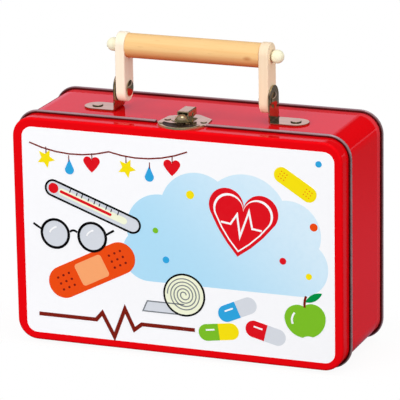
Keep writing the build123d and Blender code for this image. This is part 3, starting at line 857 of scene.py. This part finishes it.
def star(radius):
    shape = bmesh.new()
    ring = bmesh.ops.create_circle(shape, cap_ends=True, segments=10, radius=radius * MM)["verts"]
    bmesh.ops.rotate(shape, verts=ring, cent=(0, 0, 0), matrix=Matrix.Rotation(radians(90), 3, "X"))
    bmesh.ops.scale(shape, verts=ring[::2], vec=(STAR_WAIST, STAR_WAIST, STAR_WAIST))
    return shape


def drop():
    return filled([(0, 9, 0), (-5, -2, 0), (5, -2, 205)])


lay("brown", stroke([(-116, 158, 0), (-52, 156, 38), (10, 161, 38)], 1.1))
for kind, x, z in HUNG:
    lay("brown", stroke([(x, z + 4, 0), (x, z + 9, 0)], 0.7))
    if kind == "star":
        lay("yellow", star(7.5), x, z, 10)
    elif kind == "drop":
        lay("blue", drop(), x, z, 0, 0.7)
    else:
        heart(x, z, 0, 0.28)
laid("garland")

# %% [markdown]
# ### The heartbeat line and loose dots
# One long brown line runs along the foot of the print, like a trace on a monitor. A few dots fill the
# quiet places.

# %% Heartbeat and dots
TRACE = [(-112, 25, 0), (-66, 25, 0), (-60, 32, 0), (-51, 15, 0), (-42, 38, 0), (-34, 21, 0), (-29, 25, 0),
         (14, 25, 0)]
DOTS = [("yellow", 12, 128, 3.2), ("blue", -8, 76, 2.6), ("red", 84, 84, 2.6), ("green", -16, 98, 2.2),
        ("orange", 108, 112, 3.0), ("yellow", 104, 74, 2.4), ("blue", 112, 160, 2.4)]

lay("brown", stroke(TRACE, 3.0))
for ink, x, z, radius in DOTS:
    lay(ink, disc(radius), x, z)
laid("heartbeat line and dots")

# %% [markdown]
# ### Ink as a finish
# All inks share one gloss, because one clear varnish covers the whole sheet. The cloud grows paler towards
# the upper right. Each sheet of ink becomes one piece that rides on the lid.

# %% Ink finish and pieces
SKY_PALE = (218, 238, 251)
SKY_FADE = (60 * MM, 240 * MM)  # where the cloud is full and where it is palest, in X plus Z


def colour(red, green, blue):
    """A shader's linear colour from one picked on a screen, 0 to 255, by the standard screen curve."""
    def linear(value):
        share = value / 255
        return share / 12.92 if share <= 0.04045 else ((share + 0.055) / 1.055) ** 2.4
    return tuple(linear(v) for v in (red, green, blue))


def ink_finish(name, tone):
    material, tree, shader = new_material("ink_" + name)
    position = add(tree, "ShaderNodeTexCoord").outputs["Object"]
    full = colour(*tone)
    base = full
    if name == "sky":
        places = parts_of(tree, position)
        paler = fade(tree, calc(tree, "ADD", places["X"], places["Z"]), *SKY_FADE)
        base = blend_colour(tree, paler, full, colour(*SKY_PALE))
    thin = fade(tree, noise(tree, position, scale=260.0), 0.35, 0.75, 0.0, 0.10)
    base = blend_colour(tree, thin, base, tuple(0.90 * c + 0.02 for c in full))
    feed(tree, shader, Base_Color=base, Roughness=varnish_gloss(tree, position), IOR=VARNISH_IOR,
         Normal=varnish_normal(tree, position))
    return material


for ink, sheet in ink_sheets.items():
    mesh = bpy.data.meshes.new("print_" + ink)
    sheet.to_mesh(mesh)
    sheet.free()
    piece = bpy.data.objects.new("print_" + ink, mesh)
    scene.collection.objects.link(piece)
    mesh.materials.append(ink_finish(ink, INKS[ink]))
    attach(piece, "lid")
    print("print_" + ink, len(mesh.polygons), "faces")

# %% [markdown]
# ## Metals
# The brackets, the rivets and the latch are pressed from steel and nickel plated, so they are bright and a
# little warm. Metal with one even gloss looks like plastic film. So each metal has fine scratches that catch
# the light, shallow dents, and a roughness that changes from place to place, because hands have touched it.

# %% Metal finish
# painted shade and painted reflection for the hollow of the catch plate
DISH_SHADE = (0.030, 0.018, 0.010)
DISH_REFLECTION = (0.11, 0.070, 0.045)
DISH_SHADE_ROUGH = 0.3            # added to the roughness of the bare metal
SCRATCH_ROUGH = 0.05
SCRATCHES = (300.0, 3000.0, 900.0)
DENT_DEPTH = 0.02 * MM


def metal(name, bright, dull, roughness, scratch_depth, metallic=1.0, shade_at=None, ior=1.45):
    """Plated metal; stain(tree, position), if given, is 1 where the metal is painted dark, as shade, with
    patches of painted reflection.
    """
    material, tree, shader = new_material(name)
    position = add(tree, "ShaderNodeTexCoord").outputs["Object"]
    patches = noise(tree, position, scale=120.0, detail=4.0)
    tone = blend_colour(tree, fade(tree, patches, 0.3, 0.7), dull, bright)
    fine = noise(tree, stretched(tree, position, SCRATCHES), scale=1.0)
    gloss = calc(tree, "MULTIPLY_ADD", fine, SCRATCH_ROUGH, fade(tree, patches, 0.25, 0.75, *roughness))
    if shade_at:
        # painted shade in the dish, broken by paler patches of painted reflection
        painted_shade = shade_at(tree, position)
        reflection_patches = fade(tree, noise(tree, position, scale=700.0), 0.45, 0.7)
        tone = blend_colour(tree, painted_shade, tone, blend_colour(tree, reflection_patches, DISH_SHADE, DISH_REFLECTION))
        gloss = calc(tree, "MULTIPLY_ADD", painted_shade, DISH_SHADE_ROUGH, gloss)
        metallic = calc(tree, "MULTIPLY_ADD", painted_shade, -metallic, metallic)
    scratches = bump(tree, fine, scratch_depth)
    dents = bump(tree, noise(tree, position, scale=180.0, detail=1.0), DENT_DEPTH, scratches)
    feed(tree, shader, Base_Color=tone, Metallic=metallic, Roughness=gloss, Normal=dents, IOR=ior)
    return material


# the dish's painted shade and painted reflection
print("tarnish", DISH_SHADE, "to", DISH_REFLECTION)

# %% [markdown]
# ### Nickel, zinc and spring wire
# The brackets are polished nickel. The latch is the same nickel, dulled by fingers. The hollow of the
# catch plate is painted dark, as painted shade from the lever over it, with paler patches of painted
# reflection. The hinges are plain zinc.

# %% Metals
NICKEL = (0.62, 0.555, 0.315)
NICKEL_DULL = (0.52, 0.46, 0.25)
ZINC = (0.62, 0.62, 0.62)
ZINC_DULL = (0.45, 0.45, 0.46)
WIRE = (0.45, 0.45, 0.47)
WIRE_DULL = (0.30, 0.30, 0.32)
POLISH_DEPTH = 0.0006 * MM     # scratches in polished plating
DISH_RADIUS = 14.3 * MM
DISH_EDGE = 0.6 * MM


def in_dish(tree, position):
    """1 in the hollow of the catch plate, a half circle about the middle of its rear edge."""
    centred = vector_calc(tree, "SUBTRACT", position, (0.0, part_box("catch_plate")[1].y, 0.0))
    reach = length_of(tree, vector_calc(tree, "MULTIPLY", centred, (1.0, 1.0, 0.0)))
    return fade_out(tree, reach, DISH_RADIUS - DISH_EDGE, DISH_RADIUS)


nickel = metal("nickel", NICKEL, NICKEL_DULL, (0.03, 0.10), POLISH_DEPTH, metallic=0.96, ior=1.15)
latch_nickel = metal("latch_nickel", NICKEL, NICKEL_DULL, (0.08, 0.16), POLISH_DEPTH, metallic=0.86)
catch_nickel = metal("catch_nickel", NICKEL, NICKEL_DULL, (0.10, 0.20), POLISH_DEPTH, metallic=0.75,
                     shade_at=in_dish, ior=1.15)
zinc = metal("zinc", ZINC, ZINC_DULL, (0.25, 0.45), 0.002 * MM)
spring_wire = metal("spring_wire", WIRE, WIRE_DULL, (0.20, 0.35), 0.001 * MM)

# %% [markdown]
# ## Wood
# The grip is a beech dowel, the arms are flat pieces of a pale wood, and the pegs are turned. Growth rings
# are cylinders around the tree's heart. It lies outside the grip and the arms, so their rings show as long
# flames on a face and as arcs on an end. Short dark flecks run with the grain. An image of wood, wrapped
# round a piece, would show the same lines on every side; rings worked out in space run right through it.

# %% Wood finish
RING_SHARE = 0.25              # how much each pattern darkens the wood
STREAK_SHARE = 0.35
FIBRE_SHARE = 0.40
RING_PEAK = 0.75               # where in its width a ring is darkest
WANDER = (0.006, 0.006, 0.006)  # how far the rings stray from round
RING_STRETCH = 0.04            # how little the rings change along the grain
FLECK_NOISE = (0.68, 0.76)     # a fleck starts at the first value of its noise and is full at the second
FLECK_SHADE = 0.55             # of the dark tone
FIBRE_RELIEF = 0.4             # of the depth of a fleck
GLOSS_SPREAD = 0.15
GRAIN_DEPTH = 0.03 * MM


def wood(name, light, dark, grain, heart, ring_width, gloss=0.6, fleck=0.35, special=None, ior=1.35):
    """grain is the axis the fibres follow, heart a point on the tree's middle line.

    special(tree, position, tone) may change the tone, for what one piece alone has.
    """
    material, tree, shader = new_material(name)
    position = add(tree, "ShaderNodeTexCoord").outputs["Object"]

    def grained(across, along, detail, output=0):
        """Noise that is fine across the grain and long along it."""
        scale = tuple(along if fibres else across for fibres in grain)
        return noise(tree, stretched(tree, position, scale), 1.0, detail, output)

    stray = grained(across=30.0, along=3.6, detail=2.0, output=1)
    shift = vector_calc(tree, "MULTIPLY", vector_calc(tree, "SUBTRACT", stray, (0.5, 0.5, 0.5)), WANDER)
    from_heart = vector_calc(tree, "ADD", vector_calc(tree, "SUBTRACT", position, heart), shift)
    across_grain = tuple(RING_STRETCH if fibres else 1.0 for fibres in grain)
    crosswise = vector_calc(tree, "MULTIPLY", from_heart, across_grain)
    phase = calc(tree, "FRACT", calc(tree, "DIVIDE", length_of(tree, crosswise), ring_width))
    ring = calc(tree, "MULTIPLY", fade(tree, phase, 0.0, RING_PEAK), fade_out(tree, phase, RING_PEAK, 1.0))

    fibre = grained(across=900.0, along=32.4, detail=4.0)
    streaks = grained(across=260.0, along=31.2, detail=2.0)
    flecks = grained(across=1500.0, along=90.0, detail=1.0)
    spots = calc(tree, "MULTIPLY", fade(tree, flecks, *FLECK_NOISE), fleck)
    depth = calc(tree, "MULTIPLY_ADD", ring, RING_SHARE, calc(tree, "MULTIPLY", streaks, STREAK_SHARE))
    depth = calc(tree, "MULTIPLY_ADD", fibre, FIBRE_SHARE, depth)
    tone = blend_colour(tree, depth, light, dark)
    tone = blend_colour(tree, spots, tone, tuple(FLECK_SHADE * c for c in dark))
    if special:
        tone = special(tree, position, tone)
    shine = fade(tree, fibre, 0.3, 0.7, gloss, gloss + GLOSS_SPREAD)
    relief = calc(tree, "SUBTRACT", calc(tree, "MULTIPLY", fibre, FIBRE_RELIEF), spots)
    feed(tree, shader, Base_Color=tone, Roughness=shine, Normal=bump(tree, relief, GRAIN_DEPTH), IOR=ior)
    return material


print("wood darkened by rings", RING_SHARE, "streaks", STREAK_SHARE, "fibres", FIBRE_SHARE)

# %% [markdown]
# ### The four woods
# The lower side of the grip is painted deeper and more orange, as painted shade and red light thrown up from
# the case below it, and one small knot shows in front. The left arm is cut from paler wood than the right
# one.

# %% Woods
ALONG = (1, 0, 0)
UPRIGHT = (0, 0, 1)
BEECH, BEECH_DARK = (0.93, 0.64, 0.31), (0.82, 0.47, 0.18)
# painted shade: the grip's underside, darkened and reddened as by shade and red light from the case below
UNDERSIDE_SHADE = (0.64, 0.20, 0.06)
UNDERSIDE_SHADE_EDGE = (-9.0 * MM, 2.0 * MM)  # the deeper colour fades out between these heights from the middle
KNOT = (0.50, 0.17, 0.05)
KNOT_STRENGTH = 0.65
KNOT_EDGE = (0.2 * MM, 2.6 * MM)
KNOT_STRETCH = (0.55, 1.0, 1.0)  # it is longer along the grip
RIGHT_ARM, RIGHT_ARM_DARK = (0.94, 0.77, 0.56), (0.88, 0.68, 0.47)
LEFT_ARM, LEFT_ARM_DARK = (0.98, 0.89, 0.73), (0.95, 0.82, 0.64)
PEG, PEG_DARK = (0.93, 0.91, 0.70), (0.90, 0.85, 0.60)

grip_low, grip_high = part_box("handle_grip")
grip_middle = (grip_low + grip_high) / 2
grip_heart = grip_middle + Vector((0.0, 14.0, -22.0)) * MM
arm_heart = grip_middle + Vector((-40.0, 18.0, 0.0)) * MM
knot_place = grip_middle + Vector((44.5, -9.2, -1.2)) * MM


def grip_features(tree, position, tone):
    height = parts_of(tree, position)["Z"]
    # painted shade on the lower side of the grip
    below = fade_out(tree, height, grip_middle.z + UNDERSIDE_SHADE_EDGE[0], grip_middle.z + UNDERSIDE_SHADE_EDGE[1])
    tone = blend_colour(tree, below, tone, UNDERSIDE_SHADE)
    away = vector_calc(tree, "MULTIPLY", vector_calc(tree, "SUBTRACT", position, knot_place), KNOT_STRETCH)
    knot = fade(tree, length_of(tree, away), *KNOT_EDGE, KNOT_STRENGTH, 0.0)
    return blend_colour(tree, knot, tone, KNOT)


grip_wood = wood("grip_wood", BEECH, BEECH_DARK, ALONG, grip_heart, ring_width=3.2 * MM,
                 special=grip_features, ior=1.2)
arm_wood = wood("arm_wood", RIGHT_ARM, RIGHT_ARM_DARK, UPRIGHT, arm_heart, ring_width=4.0 * MM, fleck=0.12)
pale_wood = wood("pale_wood", LEFT_ARM, LEFT_ARM_DARK, UPRIGHT, arm_heart, ring_width=4.0 * MM, fleck=0.08)
peg_wood = wood("peg_wood", PEG, PEG_DARK, ALONG, grip_middle, ring_width=2.5 * MM, gloss=0.42, fleck=0.08)

# %% [markdown]
# ## The turned grip and pegs
# A dowel and a ball are turned on a lathe, so their light runs round them without a step. The frame's own
# pieces are cut into flat strips, which would show on a shape this plain. So both are turned again, more
# finely: the pen draws half of the outline above the X axis, and spinning it round that axis makes the piece.

# %% Turned pieces
TURN_STEPS = 120
SHANK_RADIUS = 3.0             # of a peg, in millimetres like the three below
PEG_BITE = 14.0                # depth of the peg's hole in each end of the grip
BALL_STAND = 4.3               # arm face to the middle of the ball
GRIP_EDGE = 0.6                # rounding of the grip's ends
SHARP = radians(40)            # edges that turn by more stay sharp


def finished(name, shape, finish, body):
    """Makes a bmesh a piece with smooth faces and sharp edges, which rides on a body."""
    mesh = bpy.data.meshes.new(name)
    shape.to_mesh(mesh)
    shape.free()
    mesh.shade_smooth()
    mesh.set_sharp_from_angle(angle=SHARP)
    mesh.materials.append(finish)
    piece = bpy.data.objects.new(name, mesh)
    scene.collection.objects.link(piece)
    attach(piece, body)
    print(name, len(mesh.polygons), "faces")
    return piece


def turned(name, stops, place, finish, turn_by=0.0):
    """A piece turned about the X axis from stops (x, radius, bend), then set in its place."""
    shape = bmesh.new()
    draw(shape, stops)
    bmesh.ops.spin(shape, geom=shape.verts[:] + shape.edges[:], cent=(0, 0, 0), axis=(1, 0, 0),
                   angle=radians(360), steps=TURN_STEPS, use_merge=True)
    bmesh.ops.remove_doubles(shape, verts=shape.verts, dist=0.001 * MM)
    bmesh.ops.recalc_face_normals(shape, faces=shape.faces)
    bmesh.ops.rotate(shape, verts=shape.verts, cent=(0, 0, 0),
                     matrix=Matrix.Rotation(radians(turn_by), 3, "Z"))
    bmesh.ops.translate(shape, verts=shape.verts, vec=place)
    return finished(name, shape, finish, "handle")


grip_half = (grip_high.x - grip_low.x) / 2 / MM
grip_radius = (grip_high.z - grip_low.z) / 2 / MM
grip_stops = [
    (PEG_BITE - grip_half, 0, 0), (PEG_BITE - grip_half, SHANK_RADIUS, 0), (-grip_half, SHANK_RADIUS, 0),
    (-grip_half, grip_radius - GRIP_EDGE, 0), (GRIP_EDGE - grip_half, grip_radius, -90),
    (grip_half - GRIP_EDGE, grip_radius, 0), (grip_half, grip_radius - GRIP_EDGE, -90),
    (grip_half, SHANK_RADIUS, 0), (grip_half - PEG_BITE, SHANK_RADIUS, 0), (grip_half - PEG_BITE, 0, 0),
]
turned_grip = turned("turned_grip", grip_stops, grip_middle, grip_wood)
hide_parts("handle_grip")

# %% [markdown]
# ### Pegs
# Each peg is a ball on a plain shank, which goes through the arm into the end of the grip. The ball's size
# and the shank's length come from the frame's own peg, and the left peg is the right one turned round.

# %% Pegs
for side, turn_by in (("left", 180), ("right", 0)):
    peg_low, peg_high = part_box("grip_peg_" + side)
    ball_radius = (peg_high.z - peg_low.z) / 2 / MM
    shank = (peg_high.x - peg_low.x) / MM - BALL_STAND - ball_radius
    cut_radius = (ball_radius ** 2 - BALL_STAND ** 2) ** 0.5
    ball_bend = degrees(atan2(cut_radius, -BALL_STAND))
    peg_stops = [(-shank, 0, 0), (-shank, SHANK_RADIUS, 0), (0, SHANK_RADIUS, 0), (0, cut_radius, 0),
                 (BALL_STAND + ball_radius, 0, -ball_bend)]
    inner_x = peg_low.x if side == "right" else peg_high.x
    arm_face = inner_x + (shank if side == "right" else -shank) * MM
    peg = turned("turned_peg_" + side, peg_stops, (arm_face, grip_middle.y, grip_middle.z), peg_wood, turn_by)
    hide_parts("grip_peg_" + side)

# %% [markdown]
# ## The latch spring
# A torsion spring is wire wound round the pin. One leg rests on the base plate and stays there. The other
# presses under the lever's roof and turns with it, so the wire is made as two pieces: the coil rides on the
# case, and the last half turn with its leg rides on the latch. Both wind about the pin, so they never meet.
# A spin that also moves along its axis at each step winds a coil.

# %% Spring
SPRING_WIRE = 0.5 * MM
SPRING_RADIUS = 1.3 * MM       # middle of the pin to the middle of the wire
SPRING_PITCH = 0.56 * MM
COIL_START = -1.5 * MM         # along the pin, from its middle
COIL_TURNS = 4
WIRE_SIDES = 12
STEPS_PER_TURN = 24

pin_low, pin_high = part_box("latch_pin")
pin_middle = (pin_low + pin_high) / 2
spring_low, spring_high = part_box("latch_spring")


def wound(name, start_x, turns, tip_z, leg_is_last, body):
    """Wire wound round the pin from below, with a straight leg from its last or its first end."""
    shape = bmesh.new()
    ring = bmesh.ops.create_circle(shape, segments=WIRE_SIDES, radius=SPRING_WIRE / 2)["verts"]
    bmesh.ops.rotate(shape, verts=ring, cent=(0, 0, 0), matrix=Matrix.Rotation(radians(90), 3, "X"))
    bmesh.ops.translate(shape, verts=ring, vec=pin_middle + Vector((start_x, 0, -SPRING_RADIUS)))
    first = shape.edges[:]
    steps = round(turns * STEPS_PER_TURN)
    spun = bmesh.ops.spin(shape, geom=ring + first, cent=pin_middle, axis=(1, 0, 0), steps=steps,
                          angle=radians(-360 * turns), dvec=(turns * SPRING_PITCH / steps, 0, 0))
    last = [part for part in spun["geom_last"] if isinstance(part, bmesh.types.BMEdge)]
    pulled = bmesh.ops.extrude_edge_only(shape, edges=last if leg_is_last else first)["geom"]
    leg_end = [part for part in pulled if isinstance(part, bmesh.types.BMVert)]
    here = sum((vert.co for vert in leg_end), Vector()) / len(leg_end)
    tip = Vector((here.x, spring_high.y - SPRING_WIRE / 2, tip_z))
    bmesh.ops.translate(shape, verts=leg_end, vec=tip - here)
    bmesh.ops.holes_fill(shape, edges=[edge for edge in shape.edges if edge.is_boundary])
    bmesh.ops.recalc_face_normals(shape, faces=shape.faces)
    piece = finished(name, shape, spring_wire, body)
    return piece


spring_coil = wound("spring_coil", COIL_START, COIL_TURNS, spring_low.z + SPRING_WIRE / 2, False, "case_body")
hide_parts("latch_spring")
leg_start = COIL_START + (COIL_TURNS + 1) * SPRING_PITCH
wound("spring_leg", leg_start, 0.5, spring_high.z - SPRING_WIRE / 2, True, "latch")

# %% [markdown]
# ## Finishes on the frame
# Each piece of the frame gets its finish by the start of its name, so left and right pieces share one
# unless both are named. What the table doesn't name is polished nickel.

# %% Dress the frame
finishes = {
    "lid_shell": lid_tinplate,
    "body_band": band_tinplate,
    "back_panel": panel_tinplate,
    "handle_grip": grip_wood,
    "handle_arm_left": pale_wood,
    "handle_arm_right": arm_wood,
    "grip_peg": peg_wood,
    "hinge": zinc,
    "bracket_foot_washers": zinc,
    "latch_spring": spring_wire,
    "latch_lever": latch_nickel,
    "latch_pin": latch_nickel,
    "catch_plate": catch_nickel,
}
for name, piece in nodes.items():
    fitting = [finish for start, finish in finishes.items() if name.startswith(start)]
    piece.data.materials.clear()
    piece.data.materials.append(fitting[0] if fitting else nickel)
print("finished", len(nodes), "pieces of the frame")
